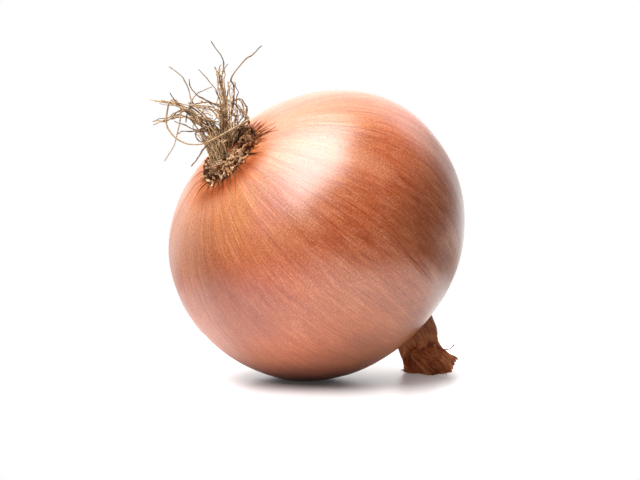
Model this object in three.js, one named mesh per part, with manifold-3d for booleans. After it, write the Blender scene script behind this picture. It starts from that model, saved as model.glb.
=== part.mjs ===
// A cured brown onion lying on its side: the skin-covered bulb, the dried neck that props one end,
// the ragged root plate on the other end, and the tuft of dried roots that grows out of it.
// Millimetres, +Z up. The part lies on z = 0, and its origin is the middle of the bulb's resting spot.
import * as THREE from 'three';
import { mergeVertices } from 'three/addons/utils/BufferGeometryUtils.js';
import Module from 'manifold-3d';

const wasm = await Module();
wasm.setup();

// ---------------------------------------------------------------- driving dimensions, mm and degrees
const EQUATOR_RADIUS = 38; // half of the 76 mm across the widest ring
const ROOT_HALF = 31; // from the widest ring to the root end
const NECK_HALF = 34.6; // from the widest ring to the neck shoulder
const ROOT_FULLNESS = 2.18; // 2 would be an ellipse, more is boxier
const NECK_FULLNESS = 2.16;
const UPPER_SWELL = 1.1; // the upper side stands out this much further than a round bulb
const SWELL_TURN = 14; // the swollen side, turned this far to the front from straight up
const NECK_DRAW = 4.2; // the shoulder is drawn out into the neck by this much
const NECK_DRAW_RADIUS = 10.5;
const NECK_OFFSET = 3; // the neck stands this much above the bulb's axis
const ROOT_DIP = 1.6; // the skin sinks this much under the root plate
const ROOT_DIP_RADIUS = 8.5;
const PLATE_OFFSET = 3; // the root plate sits this much below the bulb's axis
const BULB_SIDES = 48;
const BULB_RINGS = 26;
const RIB_COUNT = 13; // low ribs that run from the root plate to the neck
const RIB_HEIGHT = 0.16;

const LIE_ANGLE = 46; // the bulb's own axis below level, neck end down
const CENTRE_ALONG = 2.2; // the bulb's middle, from the middle of the resting spot
const CENTRE_HEIGHT = 36.25;

const PIECE_GAP = 0.3; // left between neighbouring pieces

const NECK_WAIST = 4.9; // half the thickness of the neck where it is narrowest
const NECK_FLARE = 6.8; // half its width where it splays on the ground
const NECK_SHOULDER = 2.4; // what is added where it leaves the bulb
const NECK_FOLDS = 7;
const PAPER_THICKNESS = 0.7;

const PLATE_RADIUS = 8.5; // the root plate, to the foot of its ragged collar
const WELL_RADIUS = 5.2; // the bare middle of the plate that the roots grow from
const COLLAR_HEIGHT = 2.4;
const FLAKES_PER_RING = 17;

const ROOT_RADIUS = 0.43;
const ROOT_SIDES = 4;
const CROWN_RADIUS = 4.7; // the woody crown that carries every root
const CROWN_HEIGHT = 1.5;
const BRUSH_CORE_RADIUS = 3.3;
const BRUSH_ROOTS = 18;
const LOCK_TWIST = 1.3; // how far a lock's roots wind round each other, in radians
const GOLDEN_ANGLE = Math.PI * (3 - Math.sqrt(5));
const TUFT_TURN = 29.5; // the tuft's side-to-side direction, turned about the upright

const COLOURS = { skin: 0xc67a4a, neck: 0x6b4026, plate: 0x7d5a3a, roots: 0xa58a66 };

// ---------------------------------------------------------------- shared helpers
const radians = THREE.MathUtils.degToRad;

// A small seeded draw (Park-Miller), so that every build gives the same onion.
function seededDraw(seed) {
  let state = seed;
  return () => {
    state = (state * 16807) % 2147483647;
    return state / 2147483647;
  };
}

// Moves every vertex of a closed geometry by a function and merges what coincides.
function shaped(geometry, move) {
  const bare = geometry.clone();
  bare.deleteAttribute('normal');
  bare.deleteAttribute('uv');
  const position = bare.attributes.position;
  const point = new THREE.Vector3();
  for (let i = 0; i < position.count; i += 1) {
    point.fromBufferAttribute(position, i);
    move(point);
    position.setXYZ(i, point.x, point.y, point.z);
  }
  return mergeVertices(bare, 1e-4);
}

// A closed geometry as a solid that can be joined and cut.
function solid(geometry) {
  const merged = shaped(geometry, () => {});
  const vertProperties = Float32Array.from(merged.attributes.position.array);
  const triVerts = Uint32Array.from(merged.index.array);
  return new wasm.Manifold(new wasm.Mesh({ numProp: 3, vertProperties, triVerts }));
}

// The largest body of a joined solid: sealed hollows are filled and loose scraps dropped.
function largestBody(joined) {
  const bodies = joined.decompose();
  return bodies.reduce((best, body) => (body.volume() > best.volume() ? body : best));
}

function joinAll(solids) {
  return solids.reduce((joined, next) => joined.add(next));
}

function namedMesh(name, body, colour, roughness) {
  const mesh = body.getMesh();
  const geometry = new THREE.BufferGeometry();
  geometry.setAttribute('position', new THREE.BufferAttribute(mesh.vertProperties, 3));
  geometry.setIndex(new THREE.BufferAttribute(mesh.triVerts, 1));
  geometry.computeVertexNormals();
  const material = new THREE.MeshStandardMaterial({ color: colour, roughness, metalness: 0 });
  const named = new THREE.Mesh(geometry, material);
  named.name = name;
  return named;
}

// ---------------------------------------------------------------- the onion's own frame
// x is the upper side of the lying bulb, y its axis towards the neck, z across, away from the front.
const lie = radians(LIE_ANGLE);
const UPPER = new THREE.Vector3(Math.sin(lie), 0, Math.cos(lie));
const ALONG = new THREE.Vector3(Math.cos(lie), 0, -Math.sin(lie));
const ACROSS = new THREE.Vector3(0, 1, 0);
const lying = new THREE.Group();
lying.quaternion.setFromRotationMatrix(new THREE.Matrix4().makeBasis(UPPER, ALONG, ACROSS));
lying.position.set(CENTRE_ALONG, 0, CENTRE_HEIGHT);
lying.updateMatrix();
const toOnionFrame = lying.matrix.clone().invert();

// Everything below the ground, as seen from the onion's frame.
function groundBlock() {
  const block = new THREE.BoxGeometry(300, 300, 60);
  block.translate(0, 0, -30);
  block.applyMatrix4(toOnionFrame);
  return solid(block);
}

// The skin's surface: latitude runs from the root end (-90 degrees) to the neck (+90), and longitude
// goes round the axis. Each half is a superellipse of its own height and fullness.
function skinPoint(latitude, longitude, swelling) {
  const towardsNeck = latitude > 0;
  const half = (towardsNeck ? NECK_HALF : ROOT_HALF) + swelling;
  const power = 2 / (towardsNeck ? NECK_FULLNESS : ROOT_FULLNESS);
  const spread = Math.abs(Math.cos(latitude)) ** power;
  const rise = Math.sign(latitude) * Math.abs(Math.sin(latitude)) ** power;
  const ribs = RIB_HEIGHT * Math.cos(RIB_COUNT * longitude + 2 * latitude) * spread;
  const radius = (EQUATOR_RADIUS + swelling + ribs) * spread;
  const swell = UPPER_SWELL * spread * spread;
  const x = radius * Math.cos(longitude) + swell * Math.cos(radians(SWELL_TURN));
  const z = radius * Math.sin(longitude) - swell * Math.sin(radians(SWELL_TURN));
  const fromNeck = Math.hypot(x - NECK_OFFSET, z) / NECK_DRAW_RADIUS;
  const fromPlate = Math.hypot(x + PLATE_OFFSET, z) / ROOT_DIP_RADIUS;
  const drawn = towardsNeck ? NECK_DRAW * Math.exp(-(fromNeck ** 2)) : ROOT_DIP * Math.exp(-(fromPlate ** 4));
  return new THREE.Vector3(x, half * rise + drawn, z);
}

function bulbShape(swelling) {
  return shaped(new THREE.SphereGeometry(1, BULB_SIDES, BULB_RINGS), (point) => {
    const latitude = Math.asin(THREE.MathUtils.clamp(point.y, -1, 1));
    point.copy(skinPoint(latitude, Math.atan2(point.z, point.x), swelling));
  });
}

// ---------------------------------------------------------------- bulb
function bulbSolid() {
  return solid(bulbShape(0)).subtract(groundBlock());
}

// A slightly larger bulb that cuts its neighbours clear of the skin.
function clearance() {
  return solid(bulbShape(PIECE_GAP));
}

// ---------------------------------------------------------------- neck
// The neck leaves the shoulder, bends down and splays on the ground. Its section is a folded, flattened
// ring whose folds twist as they go; its rim is torn into points, and its end is hollowed.
const NECK_PATH = new THREE.CatmullRomCurve3([
  new THREE.Vector3(NECK_OFFSET + 0.4, 32.5, 0),
  new THREE.Vector3(NECK_OFFSET + 0.5, 38.8, -1.4),
  new THREE.Vector3(NECK_OFFSET - 2, 43.8, -2.1),
  new THREE.Vector3(NECK_OFFSET - 4.2, 46.7, -4.2),
  new THREE.Vector3(NECK_OFFSET - 5.1, 49.3, -4.6),
]);

function neckPoint(t, angle) {
  const centre = NECK_PATH.getPoint(t);
  const along = NECK_PATH.getTangent(t);
  const upper = new THREE.Vector3(1, 0, 0).addScaledVector(along, -along.x).normalize();
  const across = new THREE.Vector3().crossVectors(upper, along);
  const shoulder = NECK_SHOULDER * (1 - THREE.MathUtils.smoothstep(t, -0.1, 0.6));
  const flare = (NECK_FLARE - NECK_WAIST) * THREE.MathUtils.smoothstep(t, 0.43, 1);
  const folds = 0.1 * Math.cos(NECK_FOLDS * angle + 2.6 * t) + 0.05 * Math.cos(11 * angle - 3 * t + 1);
  const radius = (NECK_WAIST + shoulder + flare) * (1 + folds * (0.35 + t));
  const torn = t > 0.99 ? 0.6 * Math.sin(5 * angle + 0.6) + 0.4 * Math.sin(13 * angle) : 0;
  return centre
    .addScaledVector(upper, 0.92 * radius * Math.cos(angle))
    .addScaledVector(across, 1.06 * radius * Math.sin(angle))
    .addScaledVector(along, torn);
}

function neckTube() {
  const rim = new THREE.CylinderGeometry(1, 1, 1, 42, 11);
  return shaped(rim, (point) => {
    const t = point.y + 0.5;
    const onAxis = Math.hypot(point.x, point.z) < 0.5;
    if (onAxis) {
      point.copy(NECK_PATH.getPoint(t > 0.5 ? 0.86 : t));
    } else {
      point.copy(neckPoint(t, Math.atan2(point.z, point.x)));
    }
  });
}

// One dried shred of skin: a strip that tapers to its tip and curls away from the neck.
function paperShred({ angle, start, length, width, curl }) {
  const strip = new THREE.BoxGeometry(width, length, PAPER_THICKNESS, 2, 6, 1);
  const root = neckPoint(start, angle);
  const centre = NECK_PATH.getPoint(start);
  const along = NECK_PATH.getTangent(start);
  const outward = root.clone().sub(centre).normalize();
  const sideways = new THREE.Vector3().crossVectors(along, outward).normalize();
  const foot = centre.lerp(root, 0.72);
  return shaped(strip, (point) => {
    const t = point.y / length + 0.5;
    const bend = curl * t;
    const narrowing = 1 - 0.72 * t * t;
    const reach = (length / curl) * Math.sin(bend);
    const lift = (length / curl) * (1 - Math.cos(bend)) + point.z;
    const x = point.x * narrowing;
    point
      .copy(foot)
      .addScaledVector(along, reach)
      .addScaledVector(outward, lift + 0.9)
      .addScaledVector(sideways, x);
  });
}

const SHREDS = [
  { angle: -0.3, start: 0.5, length: 6, width: 2.2, curl: 2.4 },
  { angle: 1.5, start: 0.66, length: 5.5, width: 3.6, curl: 0.5 },
  { angle: -1.5, start: 0.68, length: 5, width: 3.4, curl: 0.4 },
  { angle: 0.6, start: 0.6, length: 6, width: 3.2, curl: 0.3 },
];

function neckSolid() {
  const pieces = [solid(neckTube())];
  for (const shred of SHREDS) {
    pieces.push(solid(paperShred(shred)));
  }
  return largestBody(joinAll(pieces).subtract(clearance()).subtract(groundBlock()));
}

// ---------------------------------------------------------------- root plate
// A woody disc with a collar of broken scale bases round it: a lathed rim with an uneven crest, and
// wedge-shaped flakes that lean in and out of it. Heights are measured out from the root end.
const PLATE_CENTRE = new THREE.Vector3(-PLATE_OFFSET, ROOT_DIP - ROOT_HALF, 0);

function plateDisc() {
  const profile = [
    new THREE.Vector2(0, 1.2),
    new THREE.Vector2(PLATE_RADIUS + 0.6, 1.2),
    new THREE.Vector2(PLATE_RADIUS + 0.1, -0.8),
    new THREE.Vector2(PLATE_RADIUS - 1.1, -COLLAR_HEIGHT + 0.5),
    new THREE.Vector2(WELL_RADIUS + 0.5, -COLLAR_HEIGHT + 0.7),
    new THREE.Vector2(WELL_RADIUS, -1),
    new THREE.Vector2(0, -0.9),
  ];
  const draw = seededDraw(71);
  const uneven = Array.from({ length: 36 }, () => draw());
  return shaped(new THREE.LatheGeometry(profile.reverse(), 36), (point) => {
    const radius = Math.hypot(point.x, point.z);
    const turn = Math.atan2(point.z, point.x) / (2 * Math.PI) + 1;
    const tooth = uneven[Math.round(turn * 36) % 36];
    if (radius > WELL_RADIUS + 0.2) {
      point.y -= point.y < -0.5 ? 0.8 * tooth - 0.3 : 0;
      point.x *= 1 + 0.06 * (tooth - 0.5);
      point.z *= 1 + 0.06 * (tooth - 0.5);
    }
    point.add(PLATE_CENTRE);
  });
}

// One broken flake: a wedge that is thick at its foot, leaning by a few draws.
function collarFlake(angle, radius, draw) {
  const height = COLLAR_HEIGHT * (0.85 + 0.45 * draw());
  const width = 1.5 + 1.1 * draw();
  const flake = new THREE.CylinderGeometry(0.3 + 0.25 * draw(), 0.85, height, 4, 1);
  flake.scale(width / 1.3, 1, 0.8);
  flake.rotateX(Math.PI);
  flake.rotateZ(0.7 * (draw() - 0.5));
  flake.rotateX(0.75 * (draw() - 0.35));
  flake.translate(0, -height / 2 + 0.7, 0);
  flake.rotateY(Math.PI / 2 - angle);
  flake.translate(radius * Math.cos(angle), 0, radius * Math.sin(angle));
  flake.translate(...PLATE_CENTRE.toArray());
  return solid(flake);
}

function rootPlateSolid() {
  const draw = seededDraw(19);
  const pieces = [solid(plateDisc())];
  for (const ring of [WELL_RADIUS + 0.95, PLATE_RADIUS - 0.5]) {
    for (let k = 0; k < FLAKES_PER_RING; k += 1) {
      const angle = (2 * Math.PI * (k + 0.7 * draw())) / FLAKES_PER_RING;
      pieces.push(collarFlake(angle, ring + 0.7 * (draw() - 0.5), draw));
    }
  }
  const well = new THREE.CylinderGeometry(WELL_RADIUS, WELL_RADIUS, 20, 24, 1);
  well.translate(PLATE_CENTRE.x, PLATE_CENTRE.y - 10.95, PLATE_CENTRE.z);
  return largestBody(joinAll(pieces).subtract(clearance()).subtract(solid(well)));
}

// ---------------------------------------------------------------- roots
// The tuft has its own directions: side to the right, front, and rise. Each lock of roots is a route
// through the air from the plate's middle, in mm, and its roots follow it side by side.
const turn = radians(TUFT_TURN);
const inOnionFrame = lying.quaternion.clone().invert();
const SIDE = new THREE.Vector3(Math.cos(turn), -Math.sin(turn), 0).applyQuaternion(inOnionFrame);
const FRONT = new THREE.Vector3(-Math.sin(turn), -Math.cos(turn), 0).applyQuaternion(inOnionFrame);
const RISE = new THREE.Vector3(0, 0, 1).applyQuaternion(inOnionFrame);

const BRUSH_TOP = [-1.9, 1.6, 7.4]; // where the dense brush of roots ends and its locks part

const LOCKS = [
  {
    name: 'upright, left of the middle',
    roots: 5,
    spread: [1.5, 0.5],
    route: [[-1, 2.2, 9.4], [-1.5, 2.4, 13], [-2, 2.6, 17.5], [-1.6, 2.9, 21.5]],
  },
  {
    name: 'upright, right of the middle',
    roots: 5,
    spread: [1.4, 0.6],
    route: [[0.3, 1.6, 9], [0.9, 1.2, 12.6], [0.6, 1, 16], [0.2, 0.9, 18.7]],
  },
  {
    name: 'upper left, from the edge of the brush',
    roots: 5,
    spread: [1.5, 0.4],
    route: [[-5.6, 3, 6.6], [-8.3, 3.8, 9.2], [-11.4, 4.3, 11.8], [-15.5, 4.8, 13], [-20, 5, 14.2]],
  },
  {
    name: 'upper left, over the brush',
    roots: 3,
    spread: [1, 0.4],
    route: [[-3.6, 2.6, 10], [-7.8, 3, 12], [-12, 3.6, 12.8], [-16.6, 4.4, 13.2]],
  },
  {
    name: 'lower left',
    roots: 4,
    spread: [1.2, 0.5],
    route: [[-6, 2.6, 6], [-9, 2.2, 8.5], [-12.2, 2, 9.5], [-15.4, 2.4, 8.8], [-19.2, 2.8, 8.3]],
  },
  {
    name: 'loops on the right',
    roots: 3,
    spread: [0.7, 0.5],
    route: [[2.3, -0.8, 7], [4.2, -1.2, 9.6], [3.8, -0.8, 12.2], [2.6, -0.2, 13.8], [1.2, 0.4, 13.6]],
  },
  {
    name: 'loops behind',
    roots: 2,
    spread: [0.8, 0.8],
    route: [[1.6, -1.6, 7], [2.8, -2, 10], [0.8, -2, 12.4], [-1.6, -1.4, 11]],
  },
  {
    name: 'back',
    roots: 3,
    spread: [1, 1],
    route: [[-1.6, -1.4, 8], [-3.4, -2.8, 10.6], [-6, -3.4, 13], [-8.8, -3.2, 14.2]],
  },
];

// Single roots that stand away from the locks.
const STRAYS = [
  [[-1.2, 2.4, 11], [-2, 2.4, 18.3], [-1.5, 2.6, 21.7], [-2, 3, 24.4], [-4.6, 3.6, 28.1]],
  [[0.5, 0.8, 12], [0.9, 0.4, 17.2], [0.2, 0.2, 19.4], [3.7, -0.6, 23.9], [5.4, -1, 25.1], [7.6, -1.6, 27.3]],
  [[-5, 1.4, 8.6], [-9.2, 0.6, 13.4], [-10.4, 0.4, 17.3], [-12, 0, 19.8], [-14.9, -0.6, 22.2]],
  [[-1.6, 3.4, 10.4], [-3.8, 3.8, 12.9], [-7, 4.2, 14.5], [-9.2, 4.2, 16.6], [-9.9, 4, 19]],
  [[-2.2, 1, 11.6], [-3.2, 0.6, 15.6], [-4.6, 0.2, 17.9], [-7.8, -0.6, 21.5]],
  [[-7.4, 2, 9], [-9.8, 1.4, 12.4], [-8.2, 1, 15.3], [-4.4, 0.6, 17.3]],
  [[-4.4, 2.6, 6], [-8.3, 3.2, 6.7], [-10.8, 3.6, 7.8], [-13.4, 4, 8.8]],
  [[-3.8, 2.8, 4.6], [-5.8, 3.6, 2.8], [-7.4, 4, 0.4], [-9.3, 4.2, -2.1]],
  [
    [2.4, -0.2, 7.2], [4.4, 1.6, 9], [3.4, 4.4, 8.4], [0.5, 6.8, 6.7], [-2.8, 7.4, 4.8], [-6, 7.2, 3.5],
    [-9.4, 6.6, 3.2], [-12.6, 5.6, 4.4], [-14.8, 5, 7], [-15.2, 4.6, 10], [-14.6, 4.3, 13.2], [-13.6, 4.1, 14],
    [-12.4, 4, 13.2], [-11.9, 4, 11.6], [-12, 4.1, 8.8], [-12.8, 4.3, 5], [-13.6, 4.6, 2.6], [-15.8, 4.8, -0.9],
  ],
];

function tuftPoint([side, front, rise]) {
  return PLATE_CENTRE.clone()
    .addScaledVector(SIDE, side)
    .addScaledVector(FRONT, front)
    .addScaledVector(RISE, rise);
}

// Root number k starts on the plate at a turn of the golden angle, so that the starts never bunch up.
function rootStart(k, count, radius) {
  const angle = GOLDEN_ANGLE * k;
  const distance = radius * Math.sqrt((k + 0.5) / count);
  return new THREE.Vector3(distance * Math.cos(angle), 0, distance * Math.sin(angle)).add(PLATE_CENTRE);
}

// One root: a thin tube through its start, a point straight above it and the rest of its route.
function rootTube(start, route, steps) {
  const foot = start.clone().add(new THREE.Vector3(0, -1.4, 0));
  const neckOfRoot = start.clone().lerp(PLATE_CENTRE, 0.04).add(new THREE.Vector3(0, -3.2, 0));
  const path = new THREE.CatmullRomCurve3([foot, neckOfRoot, ...route], false, 'centripetal');
  const section = new THREE.Shape();
  for (let k = 0; k < ROOT_SIDES; k += 1) {
    const angle = (2 * Math.PI * k) / ROOT_SIDES;
    const corner = [ROOT_RADIUS * Math.cos(angle), ROOT_RADIUS * Math.sin(angle)];
    if (k === 0) {
      section.moveTo(...corner);
    } else {
      section.lineTo(...corner);
    }
  }
  section.closePath();
  return solid(new THREE.ExtrudeGeometry(section, { steps, extrudePath: path, bevelEnabled: false }));
}

function crownSolids() {
  const profile = [
    new THREE.Vector2(0, -CROWN_HEIGHT - 2.6),
    new THREE.Vector2(2, -CROWN_HEIGHT - 2.2),
    new THREE.Vector2(CROWN_RADIUS - 0.7, -CROWN_HEIGHT - 0.8),
    new THREE.Vector2(CROWN_RADIUS, -CROWN_HEIGHT),
    new THREE.Vector2(CROWN_RADIUS, -1.25),
    new THREE.Vector2(0, -1.25),
  ];
  const crown = new THREE.LatheGeometry(profile, 20);
  crown.translate(...PLATE_CENTRE.toArray());
  const top = tuftPoint(BRUSH_TOP);
  const core = new THREE.CatmullRomCurve3([
    new THREE.Vector3(0, -1.6, 0).add(PLATE_CENTRE),
    new THREE.Vector3(0, -3.6, 0).add(PLATE_CENTRE),
    top.clone().lerp(PLATE_CENTRE, 0.12),
  ]);
  const section = new THREE.Shape().absarc(0, 0, BRUSH_CORE_RADIUS, 0, 2 * Math.PI, false);
  const options = { steps: 4, extrudePath: core, bevelEnabled: false, curveSegments: 4 };
  return [solid(crown), solid(new THREE.ExtrudeGeometry(section, options))];
}

function brushRoots(count) {
  const draw = seededDraw(5);
  const top = tuftPoint(BRUSH_TOP);
  const solids = [];
  for (let k = 0; k < count; k += 1) {
    const start = rootStart(k, count, CROWN_RADIUS - 0.55);
    const outward = start.clone().sub(PLATE_CENTRE);
    const middle = PLATE_CENTRE.clone().lerp(top, 0.62).addScaledVector(outward, 1.02);
    const end = top.clone().addScaledVector(outward, 1.2 + 0.25 * draw());
    end.addScaledVector(RISE, 2.6 * (draw() - 0.55)).addScaledVector(SIDE, 1.4 * (draw() - 0.5));
    solids.push(rootTube(start, [middle, end], 4));
  }
  return solids;
}

function lockRoots() {
  const draw = seededDraw(37);
  const solids = [];
  const total = LOCKS.reduce((sum, lock) => sum + lock.roots, 0);
  let number = 0;
  for (const lock of LOCKS) {
    for (let k = 0; k < lock.roots; k += 1) {
      const start = rootStart(number, total, CROWN_RADIUS - 0.8);
      const angle = GOLDEN_ANGLE * k + draw();
      const reach = 0.55 + 0.45 * draw();
      const shorter = 1 - 0.16 * draw();
      const route = lock.route.map((place, i) => {
        const share = i / (lock.route.length - 1);
        const spread = reach * THREE.MathUtils.lerp(lock.spread[0], lock.spread[1], share);
        const turned = angle + LOCK_TWIST * share;
        const point = tuftPoint(place.map((length) => length * (share === 1 ? shorter : 1)));
        point.addScaledVector(SIDE, spread * Math.cos(turned));
        return point.addScaledVector(FRONT, spread * Math.sin(turned));
      });
      solids.push(rootTube(start, route, 8));
      number += 1;
    }
  }
  return solids;
}

function strayRoots() {
  return STRAYS.map((route, k) => {
    const start = rootStart(k, STRAYS.length, CROWN_RADIUS - 1.2);
    return rootTube(start, route.map(tuftPoint), route.length > 8 ? 28 : 10);
  });
}

function rootsSolid() {
  const pieces = [...crownSolids(), ...brushRoots(BRUSH_ROOTS), ...lockRoots(), ...strayRoots()];
  return largestBody(joinAll(pieces));
}

// ---------------------------------------------------------------- the assembled onion
const onion = new THREE.Group();
lying.add(namedMesh('bulb', bulbSolid(), COLOURS.skin, 0.35));
lying.add(namedMesh('neck', neckSolid(), COLOURS.neck, 0.7));
lying.add(namedMesh('root_plate', rootPlateSolid(), COLOURS.plate, 0.9));
lying.add(namedMesh('roots', rootsSolid(), COLOURS.roots, 0.8));
onion.add(lying);

export default onion;
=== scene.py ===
"""A cured brown onion on its side: fine skin, dried neck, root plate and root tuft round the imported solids.

Shapes are worked out in the onion's own frame, in millimetres: x to the upper side of the lying bulb, y along
its axis towards the neck, z across, away from the front. to_row_frame() carries them to the row's metres.
"""
import math

import bpy
import numpy as np
from mathutils import Matrix, Vector


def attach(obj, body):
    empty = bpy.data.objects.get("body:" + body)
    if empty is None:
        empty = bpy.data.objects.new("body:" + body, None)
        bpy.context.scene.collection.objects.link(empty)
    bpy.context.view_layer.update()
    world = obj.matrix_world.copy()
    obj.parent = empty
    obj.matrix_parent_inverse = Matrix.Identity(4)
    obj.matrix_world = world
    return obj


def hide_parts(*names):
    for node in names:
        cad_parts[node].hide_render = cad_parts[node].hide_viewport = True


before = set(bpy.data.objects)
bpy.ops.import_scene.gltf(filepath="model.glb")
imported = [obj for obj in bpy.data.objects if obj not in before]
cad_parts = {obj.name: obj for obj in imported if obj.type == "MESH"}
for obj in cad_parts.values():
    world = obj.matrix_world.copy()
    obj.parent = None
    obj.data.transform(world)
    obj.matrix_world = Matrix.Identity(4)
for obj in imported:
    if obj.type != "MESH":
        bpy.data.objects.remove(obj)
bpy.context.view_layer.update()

# ------------ driving dimensions, mm and degrees
MM = 0.001
EQUATOR_RADIUS = 38.0
ROOT_HALF = 31.0
NECK_HALF = 34.6
ROOT_FULLNESS = 2.18
NECK_FULLNESS = 2.16
UPPER_SWELL = 1.1
SWELL_TURN = math.radians(14)
NECK_DRAW = 4.2
NECK_DRAW_RADIUS = 10.5
NECK_OFFSET = 3.0
ROOT_DIP = 1.6
ROOT_DIP_RADIUS = 8.5
PLATE_OFFSET = 3.0
RIB_COUNT = 13
RIB_HEIGHT = 0.16
VEIN_COUNTS = (17, 23, 31, 41, 53, 67, 83, 101)
VEIN_HEIGHT = 0.05
UNEVENNESS = 0.12
PUCKER_HEIGHT = 0.09
OVERLAP_HEIGHT = 0.09
POLE = math.pi / 2 - 0.004

LIE_ANGLE = math.radians(46)
CENTRE = np.array([2.2, 0.0, 36.25])

NECK_WAIST = 4.9
NECK_FLARE = 6.8
NECK_SHOULDER = 2.4
NECK_FOLDS = 7
NECK_DEPTH = 0.92
NECK_WIDTH = 1.06

AXIS_LEAN = 0.098
FIBRE_TWIST = 0.0017
# Marks drawn along the skin: turn, start and end along the axis, and a band's half width and share.
FINE_LINES = (
    (-1.62, -29, -6), (-1.836, -30, -19), (-1.96, -31, -25), (-1.97, -29, -18),
    (-1.54, -20, -7), (-1.72, -20, -2), (-1.34, -27, -9), (-2.3, -28, -12), (-0.9, -29, 0),
    (0.6, -25, 10), (2.2, -28, 4),
)
PALE_BANDS = (
    (-1.8, -29, -11, 2.5, 0.25), (-1.2, -25, -7, 4, 0.3), (-1.24, 9, 25, 3.5, 0.4),
)
SKIN_EDGE = -1.58

PLATE_RADIUS = 8.5
WELL_RADIUS = 5.2
COLLAR_SHIFT = (-0.2, -0.9)
PLATE_CENTRE = np.array([-PLATE_OFFSET, ROOT_DIP - ROOT_HALF, 0.0])
CROWN_RADIUS = 4.3
CROWN_SHIFT = 0.5
ROOT_SHIFT = 1.6
ROOT_SPREAD = 3.0
ROOT_FOOT = np.array([0, 1.4, 0])
THROAT = np.array([0, 2, 0])
ROOT_SIDES = 6

TUFT_TURN = math.radians(29.5)
BRUSH_TOP = (-2.2, 1.6, 6.8)
BRUSH_WIDENING = 1.9
BRUSH_DEEPENING = 1.5
BRUSH_ROOTS = 150
CURL_ROOTS = 18
LOCK_RADII = (0.13, 0.22)
BRUSH_RADII = (0.11, 0.2)
STRAY_RADII = (0.19, 0.25)
CURL_RADII = (0.1, 0.16)
FLAKES = 400
SPLINTERS = 190
LOOP_NUMBER = 8
LOOP_TONE = 0.5
LOCK_TWIST = 1.3
GOLDEN_ANGLE = math.pi * (3 - math.sqrt(5))

# ------------ camera
CAMERA_AZIMUTH = math.radians(-29.5)
CAMERA_ELEVATION = math.radians(3)
CAMERA_DISTANCE = 446.0
CAMERA_LENS = 100.0
CAMERA_SENSOR = 36.0
AIM_RIGHT = 2.16
AIM_UP = -1.68

# ------------ light
# The box overhead is set in slopes from straight up. Each soft edge, left, back and slanted front, runs from
# its dark to its bright side, for the box and for its brighter core.
BOX_RIGHT = 0.12
BOX_SLANT = 1.0
BOX_EDGES = ((-1.1, -0.75), (-0.55, -0.2), (1.15, 0.8))
BOX_STRENGTH = 2.8
CORE_EDGES = ((-0.95, -0.2), (-0.24, -0.04), (0.85, 0.5))
CORE_STRENGTH = 6.9
WALL_STRENGTH = 2.0
WALL_RIGHT = 0.25
DARK_STRENGTH = 0.08
GROUND_REACH = 0.11
GROUND_DROP = 0.0002
GROUND_GLOW = 0.16
SHADE_RADIUS = 34.0
WHITE = (0.78, 0.78, 0.785, 1)

# ------------ the onion's frame
UPPER = np.array([math.sin(LIE_ANGLE), 0, math.cos(LIE_ANGLE)])
ALONG = np.array([math.cos(LIE_ANGLE), 0, -math.sin(LIE_ANGLE)])
ACROSS = np.array([0.0, 1.0, 0.0])
ONION_AXES = np.array([UPPER, ALONG, ACROSS])


def to_row_frame(points):
    """Millimetres in the onion's frame to metres in the row's: turned by the lie angle, then shifted."""
    return (CENTRE + points @ ONION_AXES) * MM


def unit(vectors):
    """The same directions with length 1."""
    return vectors / np.maximum(np.linalg.norm(vectors, axis=-1, keepdims=True), 1e-12)


def smooth_step(value, low, high):
    """0 below low, 1 above high, and a smooth rise from one to the other."""
    t = np.clip((value - low) / (high - low), 0, 1)
    return t * t * (3 - 2 * t)


def full_turn(count):
    """Evenly spaced angles once round."""
    return np.linspace(0, 2 * np.pi, count, endpoint=False)


def together(*parts):
    """Arrays or numbers side by side along a new last axis, such as coordinates that make points."""
    return np.stack(np.broadcast_arrays(*parts), axis=-1)


def crossed(down, along):
    """Two parameters as grids, the first one constant along each row."""
    return np.meshgrid(down, along, indexing="ij")


def value_noise(points, size, seed):
    """A smooth random field from -1 to 1: a hashed number at each corner of a grid of that size, blended."""
    cell = np.asarray(points) / size
    base = np.floor(cell).astype(np.int64)
    t = cell - base
    t = t * t * (3 - 2 * t)
    total = np.zeros(cell.shape[:-1])
    for corner in np.ndindex(2, 2, 2):
        lattice = (base + np.array(corner)) * np.array([374761393, 668265263, 974711])
        mixed = lattice.sum(axis=-1) + seed * 69069
        mixed = (mixed ^ (mixed >> 13)) * 1274126177
        mixed = (mixed ^ (mixed >> 16)) & 0xFFFF
        weight = np.prod(np.where(np.array(corner) == 1, t, 1 - t), axis=-1)
        total += weight * (mixed / 32767.5 - 1)
    return total


def noise_over(first, second, third, seed):
    """The random field over any three quantities, with cells one unit wide."""
    return value_noise(together(first, second, third), 1, seed)


def add_piece(name, points, faces, node, material, shade=None, smooth=True):
    """A finished piece from its points, in mm in the onion's frame, its faces and the shade of each point.
    What would be under the ground is lifted to it, which leaves the flat resting spot."""
    placed = to_row_frame(points)
    placed[:, 2] = np.maximum(placed[:, 2], 0)
    mesh = bpy.data.meshes.new(name)
    mesh.from_pydata(placed.tolist(), [], faces)
    if smooth:
        mesh.shade_smooth()
    if shade is not None:
        mesh.attributes.new("shade", "FLOAT", "POINT").data.foreach_set("value", shade.astype(np.float32))
    mesh.materials.append(material)
    piece = bpy.data.objects.new(name, mesh)
    bpy.context.scene.collection.objects.link(piece)
    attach(piece, "root")
    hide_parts(node)


def ring_faces(rows, columns, first=0):
    """Quads between neighbouring rings of a grid that closes on itself round each ring."""
    row = np.arange(rows - 1)[:, None] * columns
    column = np.arange(columns)[None, :]
    ahead = (column + 1) % columns
    quads = together(row + column, row + ahead, row + columns + ahead, row + columns + column)
    return (quads.reshape(-1, 4) + first).tolist()


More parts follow.
